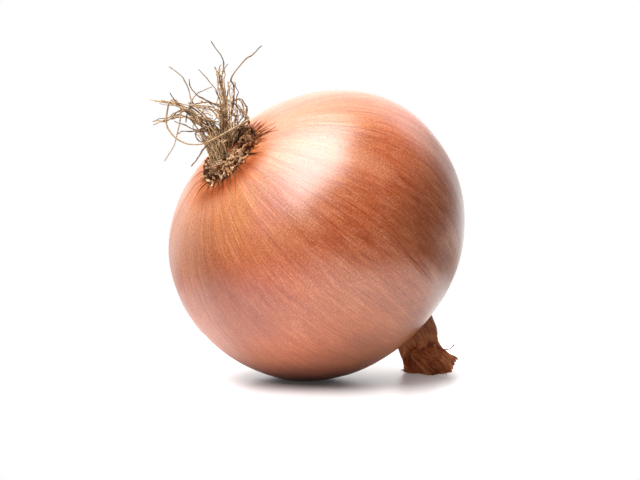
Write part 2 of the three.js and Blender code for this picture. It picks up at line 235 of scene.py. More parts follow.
def capped_grid(points):
    """Points and faces of a closed skin: a grid of rings with a fan to the middle of each end ring."""
    rows, columns = points.shape[:2]
    flat = points.reshape(-1, 3)
    start = len(flat)
    ends = np.stack([points[0].mean(axis=0), points[-1].mean(axis=0)])
    faces = ring_faces(rows, columns)
    around = np.arange(columns)
    ahead = (around + 1) % columns
    last = (rows - 1) * columns
    faces += together(ahead, around, start).tolist()
    faces += together(around + last, ahead + last, start + 1).tolist()
    return np.concatenate([flat, ends]), faces


def lathed(profile, rows, columns):
    """Distance, turn and height grids of a smooth curve through a profile of distances and heights."""
    outline = path_points(np.column_stack([profile, np.zeros(len(profile))])[None], rows)[0]
    distance, turn = crossed(np.maximum(outline[:, 0], 0.02), full_turn(columns))
    return distance, turn, outline[:, 1:2] + 0 * turn


def path_points(control, count):
    """A Catmull-Rom curve: each stretch is the cubic through its two ends whose slopes are half the chord
    between the neighbouring points. control is (paths, knots, 3), and count points come back for each."""
    before = 2 * control[:, :1] - control[:, 1:2]
    after = 2 * control[:, -1:] - control[:, -2:-1]
    knots = np.concatenate([before, control, after], axis=1)
    stretches = control.shape[1] - 1
    place = np.linspace(0, stretches, count)
    index = np.minimum(place.astype(int), stretches - 1)
    t = (place - index)[None, :, None]
    p0, p1, p2, p3 = (knots[:, index + k] for k in range(4))
    bend = (2 * p0 - 5 * p1 + 4 * p2 - p3) * t**2 + (3 * p1 - p0 - 3 * p2 + p3) * t**3
    return 0.5 * (2 * p1 + (p2 - p0) * t + bend)


def tube_skins(centres, radii, sides):
    """Closed tubes: round each point of a path a ring of its radius, square to the path, and flat ends."""
    paths, rows = centres.shape[:2]
    tangent = unit(np.gradient(centres, axis=1))
    turning = np.cross(tangent[:, :-1], tangent[:, 1:]).sum(axis=1)
    square = unit(turning + 1e-4)[:, None]
    sideways = unit(np.cross(tangent, square))
    upward = np.cross(sideways, tangent)
    angle = full_turn(sides)
    wheel = np.cos(angle)[:, None] * sideways[:, :, None] + np.sin(angle)[:, None] * upward[:, :, None]
    points = centres[:, :, None] + radii[:, :, None, None] * wheel
    return points.reshape(-1, 3), stack_faces(paths, rows, sides)


def stack_faces(pieces, rows, sides):
    """Faces of many closed stacks of rings: quads between neighbouring rings and flat ends."""
    size = rows * sides
    faces = []
    for first in range(0, pieces * size, size):
        faces += ring_faces(rows, sides, first)
        ring = first + np.arange(sides)
        faces += [ring[::-1].tolist(), (ring + size - sides).tolist()]
    return faces


def joined(batches):
    """One list of points, one of faces and one of shades from several of each."""
    points, tiles, shades = zip(*batches)
    firsts = np.cumsum([0] + [len(part) for part in points])
    faces = [[index + int(first) for index in face] for part, first in zip(tiles, firsts) for face in part]
    return np.concatenate(points), faces, np.concatenate(shades)


# ------------ shader maths
def math_node(operation, reflected=False):
    """An operator that adds a Math node of that operation, with its operands swapped where reflected."""
    def operate(*operands):
        order = operands[::-1] if reflected else operands
        return operands[0].paint.add("ShaderNodeMath", {"operation": operation}, dict(enumerate(order)))
    return operate


class Wire:
    """A shader socket that Python can calculate with."""

    def __init__(self, paint, socket):
        self.paint = paint
        self.socket = socket

    __add__ = __radd__ = math_node("ADD")
    __sub__ = math_node("SUBTRACT")
    __rsub__ = math_node("SUBTRACT", reflected=True)
    __mul__ = __rmul__ = math_node("MULTIPLY")
    __truediv__ = math_node("DIVIDE")
    __abs__ = math_node("ABSOLUTE")
    sqrt = math_node("SQRT")
    most = math_node("MAXIMUM")
    least = math_node("MINIMUM")

    def __neg__(self):
        return 0 - self

    def between(self, low, high):
        """0 below low, 1 above high, and a smooth rise from one to the other."""
        values = {"Value": self, "From Min": low, "From Max": high}
        return self.paint.add("ShaderNodeMapRange", {"interpolation_type": "SMOOTHSTEP"}, values)


class Paint:
    """The node tree of a material or a world: add() makes any node and gives one of its outputs as a Wire."""

    def __init__(self, owner):
        owner.use_nodes = True
        self.tree = owner.node_tree
        self.tree.nodes.clear()

    def add(self, kind, settings, values, output=0):
        node = self.tree.nodes.new(kind)
        for key, value in settings.items():
            setattr(node, key, value)
        for key, value in values.items():
            if isinstance(value, Wire):
                self.tree.links.new(value.socket, node.inputs[key])
            else:
                node.inputs[key].default_value = value
        return Wire(self, node.outputs[output])

    def show(self, kind, surface):
        """The output node of that kind, fed by a surface."""
        self.tree.links.new(surface.socket, self.tree.nodes.new(kind).inputs[0])

    def shader(self, **values):
        """A Principled shader. A socket's name is written with _ for each space."""
        spaced = {key.replace("_", " "): value for key, value in values.items()}
        return self.add("ShaderNodeBsdfPrincipled", {}, spaced)

    def layered(self, body, layers):
        """A colour under a stack of layers: each mixes in or multiplies by its 8-bit colour, by its share.
        The Mix node's colours are its inputs 6 and 7 and its output 2."""
        for blend, share, colour in layers:
            settings = {"data_type": "RGBA", "blend_type": blend}
            body = self.add("ShaderNodeMix", settings, {0: share, 6: body, 7: linear(*colour)}, 2)
        return body

    def join(self, x, y, z):
        return self.add("ShaderNodeCombineXYZ", {}, {0: x, 1: y, 2: z})

    def split(self, vector):
        node = self.tree.nodes.new("ShaderNodeSeparateXYZ")
        self.tree.links.new(vector.socket, node.inputs[0])
        return [Wire(self, socket) for socket in node.outputs]

    def noise(self, vector, scale, detail, roughness):
        values = {"Vector": vector, "Scale": scale, "Detail": detail, "Roughness": roughness}
        return self.add("ShaderNodeTexNoise", {}, values)

    def attribute(self, name):
        return self.add("ShaderNodeAttribute", {"attribute_name": name}, {}, "Fac")

    def onion_place(self):
        """Object coordinates turned into the onion's frame, in millimetres."""
        place = self.add("ShaderNodeTexCoord", {}, {}, "Object")
        axes = Matrix(ONION_AXES.T.tolist()).to_euler()
        values = {"Vector": place, "Location": CENTRE * MM, "Rotation": axes, "Scale": (MM, MM, MM)}
        return self.add("ShaderNodeMapping", {"vector_type": "TEXTURE"}, values)

    def bump(self, height, distance, normal=None):
        values = {"Height": height, "Distance": distance * MM}
        if normal is not None:
            values["Normal"] = normal
        return self.add("ShaderNodeBump", {}, values)


def linear(red, green, blue):
    """An 8-bit screen colour as the renderer's linear one."""
    return (*(((value / 255 + 0.055) / 1.055) ** 2.4 for value in (red, green, blue)), 1.0)


def painted(name, paint_surface):
    """A material whose surface a function paints on its node tree."""
    material = bpy.data.materials.new(name)
    paint = Paint(material)
    paint.show("ShaderNodeOutputMaterial", paint_surface(paint))
    return material


# ------------ materials
MIX, TINT = "MIX", "MULTIPLY"


def along_fibres(x, y, z):
    """A place, in arrays or wires, after the lean and the twist of the skin's fibres are undone."""
    leaned, twist = x - y * AXIS_LEAN, y * FIBRE_TWIST
    return leaned + z * twist, z - leaned * twist


def beside(turn, fibre_x, fibre_z):
    """How far a place is to the side of a line that runs along the skin at a turn."""
    return fibre_z * math.cos(turn) - fibre_x * math.sin(turn)


def skin_surface(paint):
    """Copper-brown skin: gold at the root, red-brown at the waist and dull brown by the neck, with fine
    dashes along its length, thin veins, speckled grain, and dark cracks that run out from the root plate."""
    place = paint.onion_place()
    x, y, z = paint.split(place)
    fibre_x, fibre_z = along_fibres(x, y, z)
    radius = (fibre_x * fibre_x + fibre_z * fibre_z).sqrt().most(0.01)
    across, upward = fibre_z / radius, fibre_x / radius

    def fibres(count, stretch, detail, roughness):
        """Noise drawn out along the skin, with about that many streaks to a radian."""
        return paint.noise(paint.join(upward * count, y * stretch, across * count), 1, detail, roughness)

    def drawn_mark(turn, start, end, fade_in, fade_out):
        """How far aside of a mark's centre line a point is, and 1 from the mark's start to its end."""
        ahead = (fibre_x * math.cos(turn) + fibre_z * math.sin(turn)).between(0, 2)
        drawn = ahead * y.between(start, start + fade_in) * y.between(end, end - fade_out)
        return abs(beside(turn, fibre_x, fibre_z)), drawn

    dashes = fibres(42, 0.1, 4, 0.65)
    stripes = fibres(15, 0.05, 3, 0.55)
    veins = fibres(19, 0.022, 1, 0.4)
    broad = fibres(2.6, 0.03, 2, 0.5)
    hairs = fibres(110, 0.22, 2, 0.6)
    cloud = fibres(11, 0.16, 3, 0.6)
    grain = paint.noise(place, 2.6, 3, 0.8)
    speckle = paint.noise(place, 3.7, 1, 0.5)
    blotch = paint.noise(place, 0.11, 4, 0.55)
    vein_line = 1 - (abs(veins - 0.5) * 46).least(1)

    body = paint.layered(linear(219, 134, 70), (
        (MIX, y.between(-26, -10), (206, 108, 62)),
        (MIX, y.between(-9, 18) * 0.8, (164, 88, 50)),
        (MIX, broad.between(0.4, 0.66) * 0.45, (178, 84, 44)),
        (MIX, blotch.between(0.45, 0.7) * 0.4, (212, 128, 88)),
        (MIX, stripes.between(0.46, 0.66) * 0.34, (176, 82, 44)),
        (MIX, stripes.between(0.5, 0.3) * 0.3, (232, 152, 112)),
        (MIX, cloud.between(0.48, 0.72) * 0.3, (222, 146, 118)),
        (MIX, cloud.between(0.46, 0.26) * 0.3, (196, 96, 48)),
        (MIX, dashes.between(0.5, 0.75) * 0.3, (236, 158, 112)),
        (TINT, dashes.between(0.5, 0.3) * 0.36, (196, 138, 108)),
        (TINT, vein_line * 0.24, (170, 110, 84)),
        (MIX, hairs.between(0.52, 0.72) * 0.32, (240, 170, 124)),
        (TINT, hairs.between(0.48, 0.28) * 0.4, (190, 130, 104)),
    ))
    for line in FINE_LINES:
        aside, drawn = drawn_mark(*line, 3, 4)
        body = paint.layered(body, [(TINT, (1 - aside / 0.2).most(0) * drawn * 0.6, (190, 104, 74))])
    for turn, start, end, half, share in PALE_BANDS:
        aside, drawn = drawn_mark(turn, start, end, 5, 5)
        body = paint.layered(body, [(MIX, aside.between(half, 0.3 * half) * drawn * share, (240, 170, 130))])

    # The overlap of the outer skin by the neck, with a painted shadow line just past its edge, then grain.
    edge = beside(SKIN_EDGE, fibre_x, fibre_z)
    shown = y.between(2, 8) * y.between(22, 16) * (-z).between(20, 26)
    body = paint.layered(body, (
        (MIX, edge.between(-6, 0) * (-edge).between(0, 0.3) * shown * 0.3, (212, 140, 104)),
        (MIX, (1 - abs(edge + 0.1) / 0.18).most(0) * shown * 0.5, (226, 160, 120)),
        # painted shadow line just past the torn edge
        (TINT, (1 - abs(edge - 0.22) / 0.2).most(0) * shown * 0.3, (150, 84, 60)),
        (TINT, grain.between(0.38, 0.62) * 0.7, (196, 148, 120)),
        (MIX, speckle.between(0.55, 0.75) * 0.22, (246, 190, 150)),
    ))

    # Round the root plate: an orange glow, scorched cracks and a dull ring on the lower front.
    plate_x, plate_z = x + PLATE_OFFSET - COLLAR_SHIFT[0], z - COLLAR_SHIFT[1]
    reach = (plate_x * plate_x + plate_z * plate_z).sqrt().most(0.01)
    beyond = reach - PLATE_RADIUS
    root_side = y.between(-12, -20)
    facing = (-plate_x * 0.64 - plate_z * 0.77) / reach

    def spokes(count, stretch, detail, roughness):
        """Noise drawn out away from the plate's middle, with about that many streaks to a radian."""
        turned = paint.join(plate_x / reach * count, reach * stretch, plate_z / reach * count)
        return paint.noise(turned, 1, detail, roughness)

    rays, cracks = spokes(11, 0.05, 3, 0.6), spokes(34, 0.07, 2, 0.5)
    glow = (rays - beyond * 0.024).between(0.3, 0.5) * root_side
    scorch = (rays * 0.4 + cracks * 0.6 - beyond * 0.03).between(0.43, 0.54) * root_side
    scorch = scorch * (0.3 + facing.between(-0.3, 0.5) * 0.7)
    ring = beyond.between(9, 3) * (0.25 + beyond.between(0.5, 4) * 0.75)
    above_ground = x * UPPER[2] + y * ALONG[2] + CENTRE[2]
    body = paint.layered(body, (
        (MIX, glow * (0.2 + facing.between(-0.6, 0.1) * 0.5), (212, 108, 38)),
        (MIX, scorch * 0.85, (130, 58, 22)),
        (TINT, ring * root_side * facing.between(0.3, 0.9), (190, 148, 40)),
        # broad tints over the bulb: painted shade low down, at the waist and by the ground, a painted
        # highlight colour, and tones of the skin itself
        # painted shade: the lower side a little deeper
        (TINT, (-x).between(12, 28) * 0.8, (255, 242, 232)),
        # painted shade: a darker band round the waist
        (TINT, y.between(-10, 3) * x.between(-6, 8), (226, 233, 224)),
        # painted shade on the lower front
        (TINT, z.between(-22, -6) * (-x).between(14, 28), (228, 236, 240)),
        # darker and more olive towards the neck: partly the skin's own colour, partly painted shade
        (TINT, y.between(12, 26), (224, 231, 184)),
        (TINT, y.between(-2, 14) * (-x).between(-14, 4), (251, 234, 188)),
        # painted shade on the underside by the neck
        (TINT, y.between(8, 18) * (-x).between(10, 20), (218, 216, 196)),
        # painted shade low on the front of the root half
        (TINT, y.between(5, -3) * (-x).between(25, 32) * z.between(-2, -14), (222, 212, 205)),
        (MIX, (-x).between(1, 13) * y.between(-12, 6) * 0.15, (232, 156, 112)),
        (TINT, y.between(-10, -24) * 0.8, (238, 250, 250)),
        # painted highlight colour: a pinker tint where the soft box is reflected
        (TINT, y.between(-17, -23) * z.between(-19, -25) * x.between(7, 0), (255, 226, 232)),
        # painted contact shade: darker the nearer the skin is to the ground
        (TINT, above_ground.between(8, 0.5) * 0.8, (196, 168, 150)),
    ))

    gloss = 0.2 + dashes * 0.14 + grain * 0.08 + scorch * 0.35
    gloss = gloss + (1 - beyond / 8).most(0) * root_side * 0.3 + (-x).between(4, 22) * 0.14
    relief = paint.bump(dashes * 0.5 + stripes + vein_line * 0.12, 0.07)
    relief = paint.bump(grain, 0.02, relief)
    glossy = paint.shader(IOR=1.75, Base_Color=body, Roughness=gloss, Normal=relief)
    chaff = paint.shader(Specular_IOR_Level=0.1, Base_Color=body, Roughness=0.9, Normal=relief)
    dull = (beyond.between(9, 3) * facing.between(0.2, 0.9) * root_side * 0.8).most(scorch)
    return paint.add("ShaderNodeMixShader", {}, {0: dull, 1: glossy, 2: chaff})


def neck_surface(paint):
    """Dried leaf bases: dark brown with paler ridges, fine fibres that run along the neck, and painted shade
    higher up.
    """
    place = paint.onion_place()
    x, y, z = paint.split(place)
    fibre = paint.noise(paint.join(x * 2.2, y * 0.22, z * 2.2), 1, 5, 0.6)
    patch = paint.noise(place, 0.32, 3, 0.5)
    above_ground = x * UPPER[2] + y * ALONG[2] + CENTRE[2]
    body = paint.layered(linear(180, 104, 62), (
        (MIX, fibre.between(0.35, 0.68), (226, 146, 94)),
        (MIX, paint.attribute("shade") * 0.3, (246, 166, 108)),
        # painted shade: darker the higher the neck is above the ground
        (TINT, above_ground.between(4, 12), (190, 190, 190)),
        (TINT, patch.between(0.4, 0.65) * 0.4, (168, 120, 96)),
    ))
    relief = paint.bump(fibre, 0.12)
    return paint.shader(Specular_IOR_Level=0.3, Base_Color=body, Roughness=0.55 + fibre * 0.3, Normal=relief)


def plate_surface(paint):
    """Crumbled scale bases and dead plate: each flake its own brown, from near black to straw, with painted
    shade at its foot.
    """
    grit = paint.noise(paint.onion_place(), 1.6, 5, 0.7)
    shade = paint.attribute("shade")
    body = paint.layered(linear(88, 50, 30), (
        (MIX, shade.between(0, 0.5), (214, 162, 116)),
        (MIX, shade.between(0.5, 0.95) * 0.9, (240, 212, 172)),
        (MIX, shade.between(1.1, 1.5), (172, 98, 58)),
        (MIX, shade.between(0, -0.6), (168, 90, 46)),
        (TINT, grit.between(0.35, 0.65) * 0.4, (150, 116, 88)),
    ))
    relief = paint.bump(grit, 0.25)
    return paint.shader(Specular_IOR_Level=0.25, Base_Color=body, Roughness=0.8 + grit * 0.15, Normal=relief)


def root_surface(paint):
    """Dried roots: each its own mix of straw and grey-brown, with darker kinks along it."""
    kink = paint.noise(paint.onion_place(), 0.9, 4, 0.6)
    shade = paint.attribute("shade")
    body = paint.layered(linear(142, 112, 86), (
        (MIX, shade, (255, 218, 168)),
        (MIX, shade.between(1.1, 1.5), (176, 104, 64)),
        (MIX, shade.between(0, -0.6), (58, 38, 26)),
        (TINT, kink.between(0.45, 0.62) * 0.5, (150, 122, 98)),
    ))
    relief = paint.bump(kink, 0.1)
    return paint.shader(Specular_IOR_Level=0.3, Base_Color=body, Roughness=0.6 + kink * 0.25, Normal=relief)


def ground_surface(paint):
    """A white table top that glows a little, least in the shade of the bulb."""
    x, y, _ = paint.split(paint.add("ShaderNodeTexCoord", {}, {}, "Object"))
    apart = (x * x + y * y).sqrt().between(0.3 * SHADE_RADIUS * MM, SHADE_RADIUS * MM) * 0.85 + 0.15
    glow = paint.join(apart, apart, apart)
    return paint.shader(Base_Color=WHITE, Roughness=0.35, Emission_Strength=GROUND_GLOW, Emission_Color=glow)


# ------------ bulb skin
def skin_points(latitude, longitude, swelling):
    """The bulb's surface: each half is a superellipse of its own height and fullness, swollen on the upper
    side, drawn out to the neck and sunk under the root plate; swelling moves it outwards."""
    towards_neck = latitude > 0
    half = np.where(towards_neck, NECK_HALF, ROOT_HALF) + swelling
    power = 2 / np.where(towards_neck, NECK_FULLNESS, ROOT_FULLNESS)
    spread = np.abs(np.cos(latitude)) ** power
    rise = np.sign(latitude) * np.abs(np.sin(latitude)) ** power
    ribs = RIB_HEIGHT * np.cos(RIB_COUNT * longitude + 2 * latitude) * spread
    radius = (EQUATOR_RADIUS + swelling + ribs) * spread
    swell = UPPER_SWELL * spread**2
    x = radius * np.cos(longitude) + swell * math.cos(SWELL_TURN)
    z = radius * np.sin(longitude) - swell * math.sin(SWELL_TURN)
    from_neck = np.hypot(x - NECK_OFFSET, z) / NECK_DRAW_RADIUS
    from_plate = np.hypot(x + PLATE_OFFSET, z) / ROOT_DIP_RADIUS
    drawn = np.where(towards_neck, NECK_DRAW * np.exp(-(from_neck**2)), ROOT_DIP * np.exp(-(from_plate**4)))
    return together(x, half * rise + drawn, z)


def skin_relief(latitude, longitude, draw):
    """Low veins that run from root to neck, a slow unevenness, and puckers that fan out of the root plate."""
    spread = np.abs(np.cos(latitude))
    veins = np.zeros_like(latitude)
    for count in VEIN_COUNTS:
        drift = draw.uniform(-1.2, 1.2) * latitude + 0.5 * np.sin(2 * latitude + draw.uniform(0, 6))
        veins += np.cos(count * longitude + draw.uniform(0, 6.3) + drift) / count**0.6
    slow = np.cos(3 * longitude + 1.1 + latitude) + 0.7 * np.cos(5 * longitude - 2.3 * latitude + 0.4)
    base = skin_points(latitude, longitude, 0.0)
    plate_x, plate_z = base[..., 0] + PLATE_OFFSET, base[..., 2]
    reach = np.hypot(plate_x, plate_z)
    turn = np.arctan2(plate_z, plate_x)
    near = np.exp(-(((reach - PLATE_RADIUS) / 4.5) ** 2)) * (latitude < -0.6)
    pucker = np.cos(27 * turn + 0.5) + 0.8 * np.cos(41 * turn + 2) + 0.6 * np.cos(63 * turn + 4)
    under = -beside(SKIN_EDGE, *along_fibres(*np.moveaxis(base, -1, 0)))
    overlap = smooth_step(under, -0.3, 0.3) * (1 - smooth_step(under, 0.5, 9)) * (plate_z < 0)
    overlap = overlap * smooth_step(base[..., 1], 1, 8) * (1 - smooth_step(base[..., 1], 15, 23))
    relief = VEIN_HEIGHT * veins * spread**0.5 + UNEVENNESS * slow * spread
    return relief + PUCKER_HEIGHT * pucker * near + OVERLAP_HEIGHT * overlap


def build_bulb(material):
    """The whole skin as one grid of latitudes and longitudes, closed at both poles."""
    latitude, longitude = crossed(np.linspace(-POLE, POLE, 190), full_turn(480))
    grid = skin_points(latitude, longitude, skin_relief(latitude, longitude, np.random.default_rng(11)))
    points, faces = capped_grid(grid)
    add_piece("skin_bulb", points, faces, "bulb", material)


# ------------ neck
NECK_ROUTE = np.array([
    [NECK_OFFSET + 0.4, 32.5, 0],
    [NECK_OFFSET + 0.5, 38.8, -1.4],
    [NECK_OFFSET - 2, 43.8, -2.1],
    [NECK_OFFSET - 4.2, 46.7, -4.2],
    [NECK_OFFSET - 5.1, 49.3, -4.6],
])
# Rings of the mouth: share of the end's width, and depth in mm.
NECK_MOUTH = ((0.82, 0.5), (0.5, 1.6), (0.2, 2.2))


def neck_frame(t):
    """Centre, direction, upper side and across side of the neck at each share t of its length."""
    table = path_points(NECK_ROUTE[None], 201)[0]
    share = np.linspace(0, 1, len(table))

    def at_share(rows):
        return together(*(np.interp(t, share, column) for column in rows.T))

    along = unit(at_share(np.gradient(table, axis=0)))
    upper = unit(np.array([1.0, 0, 0]) - along[..., :1] * along)
    return at_share(table), along, upper, np.cross(upper, along)


def neck_radius(t, angle):
    """The waist, widened to the shoulder and flared at the end, with folds that wind slowly round."""
    shoulder = NECK_SHOULDER * (1 - smooth_step(t, -0.1, 0.6))
    flare = (NECK_FLARE - NECK_WAIST) * smooth_step(t, 0.43, 1)
    folds = 0.1 * np.cos(NECK_FOLDS * angle + 2.6 * t) + 0.05 * np.cos(11 * angle - 3 * t + 1)
    folds = folds + 0.035 * np.cos(19 * angle + 4 * t + 0.3) + 0.025 * np.cos(31 * angle - 5 * t)
    return (NECK_WAIST + shoulder + flare) * (1 + folds * (0.35 + t))


def neck_points(t, angle, lift):
    """Points round the neck at a share of its length, a turn and a lift off its surface, torn at the end."""
    centre, along, upper, across = neck_frame(t)
    radius = (neck_radius(t, angle) + lift)[..., None]
    torn = np.where(t > 0.99, 0.6 * np.sin(5 * angle + 0.6) + 0.4 * np.sin(13 * angle), 0)[..., None]
    rise = NECK_DEPTH * radius * np.cos(angle)[..., None] * upper
    return centre + rise + NECK_WIDTH * radius * np.sin(angle)[..., None] * across + torn * along


def build_neck(material):
    """The neck's surface, roughened by a random field, with a mouth that sinks in at its end."""
    columns = 260
    t, angle = crossed(np.linspace(0, 1, 90), full_turn(columns))
    rough = value_noise(neck_points(t, angle, 0 * t), np.array([0.9, 3.0, 0.9]), 3)
    grid = neck_points(t, angle, 0.16 * rough)
    centre, along, _, _ = neck_frame(np.ones(columns))
    mouth = [centre + share * (grid[-1] - centre) - depth * along for share, depth in NECK_MOUTH]
    points, faces = capped_grid(np.concatenate([grid, mouth])[::-1])
    ridge = smooth_step((rough + 1) / 2, 0.35, 0.85)
    shade = np.concatenate([np.zeros(len(mouth) * columns), ridge[::-1].ravel(), [0, 0]])
    add_piece("neck_folds", points, faces, "neck", material, shade)


# Papery leaf bases that wrap the neck: middle angle, half width, start and end along it, and lift, in mm.
NECK_SHEETS = (
    (0.4, 0.9, 0.05, 0.9, 0.25),
    (2.1, 0.8, 0.1, 0.93, 0.35),
    (-1.3, 0.75, 0.05, 0.95, 0.25),
    (-2.7, 0.8, 0.15, 0.9, 0.25),
    (1.2, 0.55, 0.35, 0.94, 0.5),
    (-0.5, 0.5, 0.3, 0.97, 0.45),
    (-2.0, 0.45, 0.4, 0.95, 0.4),
)

# The curled shred of the neck: angle, start along the neck, length, width, and how far it curls, in radians.
SHRED = (-0.3, 0.5, 6.0, 2.2, 2.4)
PAPER = 0.2
SHEET_END = 0.985


def sheet_shell(outer, thickness):
    """A thin closed shell: an outer grid, an inner one moved in by the thickness, and walls round the rim."""
    rows, columns = outer.shape[:2]
    normal = unit(np.cross(np.gradient(outer, axis=0), np.gradient(outer, axis=1)))
    inner = outer - thickness * normal
    index = np.arange(rows * columns).reshape(rows, columns)
    top = together(index[:-1, :-1], index[1:, :-1], index[1:, 1:], index[:-1, 1:]).reshape(-1, 4)
    rim = np.concatenate([index[0, :-1], index[:-1, -1], index[-1, :0:-1], index[:0:-1, 0]])
    ahead = np.roll(rim, -1)
    shift = rows * columns
    walls = together(rim, ahead, ahead + shift, rim + shift)
    faces = np.concatenate([top, top[:, ::-1] + shift, walls])
    return np.concatenate([outer.reshape(-1, 3), inner.reshape(-1, 3)]), faces


def curled_shred():
    """A strip that leaves the neck and follows an arc of a circle up to its narrow, ragged tip."""
    angle, start, length, width, curl = SHRED
    v, u = crossed(np.linspace(0, 1, 40), np.linspace(-1, 1, 14))
    centre, along, _, _ = neck_frame(np.array([start]))
    side = neck_points(np.array([start]), np.array([angle]), np.zeros(1)) - centre
    outward = unit(side)
    sideways = np.cross(along, outward)
    v = v * (1 - 0.1 * u**2 + 0.05 * np.sin(9 * u))
    half = 0.5 * width * (1 - 0.72 * v**2) * (1 + 0.12 * np.sin(11 * v + 1))
    reach = (length / curl * np.sin(curl * v))[..., None] * along
    lift = (length / curl * (1 - np.cos(curl * v)) + 0.9 + 0.3 * u**2)[..., None] * outward
    return centre + 0.72 * side + reach + lift + (half * u)[..., None] * sideways


def neck_sheet(middle, half, start, end, lift, ragged):
    """A sheet that follows the neck's surface, lifts towards its end and is torn along its end and sides."""
    v, u = crossed(np.linspace(0, 1, 46), np.linspace(-1, 1, 40))
    tear = 0.09 * noise_over(u * 5, 0, ragged, 5) + 0.05 * noise_over(u * 17, 0, 9, 6)
    t = start + (end - start + tear) * v
    side = half * (1 - 0.3 * v) * (1 + 0.12 * noise_over(v * 9, 0, 0, 8))
    angle = middle + side * u + 0.15 * np.sin(3 * v + middle)
    crumple = noise_over(angle * 4, t * 3, middle, 12)
    raised = lift * (0.35 + 0.9 * v**2) + 0.25 * crumple - 0.3 * (1 - v) * u**2
    beyond = np.maximum(t - SHEET_END, 0)[..., None] * 14
    _, along, upper, across = neck_frame(np.ones_like(t))
    outward = np.cos(angle)[..., None] * upper + np.sin(angle)[..., None] * across
    return neck_points(np.minimum(t, SHEET_END), angle, raised) + beyond * (along + 0.5 * outward), crumple


def build_neck_sheets(material):
    """The papery sheets and the shred as thin shells, each sheet paler where it is crumpled outwards."""
    draw = np.random.default_rng(23)
    shells = []
    for sheet in NECK_SHEETS:
        outer, crumple = neck_sheet(*sheet, draw.uniform(0, 50))
        ridge = smooth_step(crumple, -0.4, 0.9).ravel()
        shells.append((*sheet_shell(outer, PAPER), np.tile(ridge, 2)))
    points, faces = sheet_shell(curled_shred(), PAPER)
    points, faces, shade = joined([*shells, (points, faces, np.full(len(points), 0.5))])
    add_piece("neck_papers", points, faces, "neck", material, shade)


# ------------ root plate
def plate_place(radius, angle, height):
    """A point by its distance from the plate's middle, its turn, and its height out of the root end."""
    return together(radius * np.cos(angle), -height, radius * np.sin(angle)) + PLATE_CENTRE


def collar_place(radius, angle, height):
    """The same from the collar's own middle, which is a little off the plate's."""
    return plate_place(radius, angle, height) + np.array([COLLAR_SHIFT[0], 0, COLLAR_SHIFT[1]])


def bare_side(angle):
    """1 where the inner wall of the collar shows, beside the brush, falling to 0 around the rest."""
    return smooth_step(np.cos(angle + 1.3), 0.5, 0.85)


def build_plate_rim(material):
    """A ring of crumbled tissue: a closed lathed profile, roughened by random fields of two sizes."""
    profile = np.array([
        [0.02, 0.6], [2.5, 0.6], [WELL_RADIUS - 0.1, 0.7], [WELL_RADIUS + 0.6, 1.9], [6.5, 2.5], [7.1, 2.0],
        [7.7, 0.9], [PLATE_RADIUS - 0.4, -0.2], [PLATE_RADIUS - 0.9, -0.9], [5.0, -1.0], [0.02, -1.0],
    ])
    radius, angle, height = lathed(profile, 60, 300)
    grid = collar_place(radius, angle, height)
    coarse, fine = value_noise(grid, 1.3, 41), value_noise(grid, 0.5, 42)
    bare = bare_side(angle)
    crest = smooth_step(radius, WELL_RADIUS - 0.8, WELL_RADIUS + 0.6) * smooth_step(height, -0.6, 0.6)
    raised = crest * (0.7 * coarse + 0.4 * fine - 0.3 * bare)
    wider = 0.4 * bare * crest * (1 - smooth_step(radius, 7.2, 8.2))
    grid = collar_place(radius + 0.4 * raised + wider, angle + 0.05 * crest * fine, height + raised)
    points, faces = capped_grid(grid[::-1])
    # The rim is dark brown between the flakes: partly its own colour, partly painted shade in the gaps. The
    # bare wall beside the brush is orange-brown.
    wall = bare * (1 - smooth_step(radius + 1.2 * coarse, 5.9, 6.6))
    shade = (0.25 * coarse + 0.25 * fine) * (1 - wall) + (1.35 + 0.4 * fine) * wall
    shade = np.append(shade[::-1], [0, 0])
    add_piece("plate_rim", points, faces, "root_plate", material, shade)


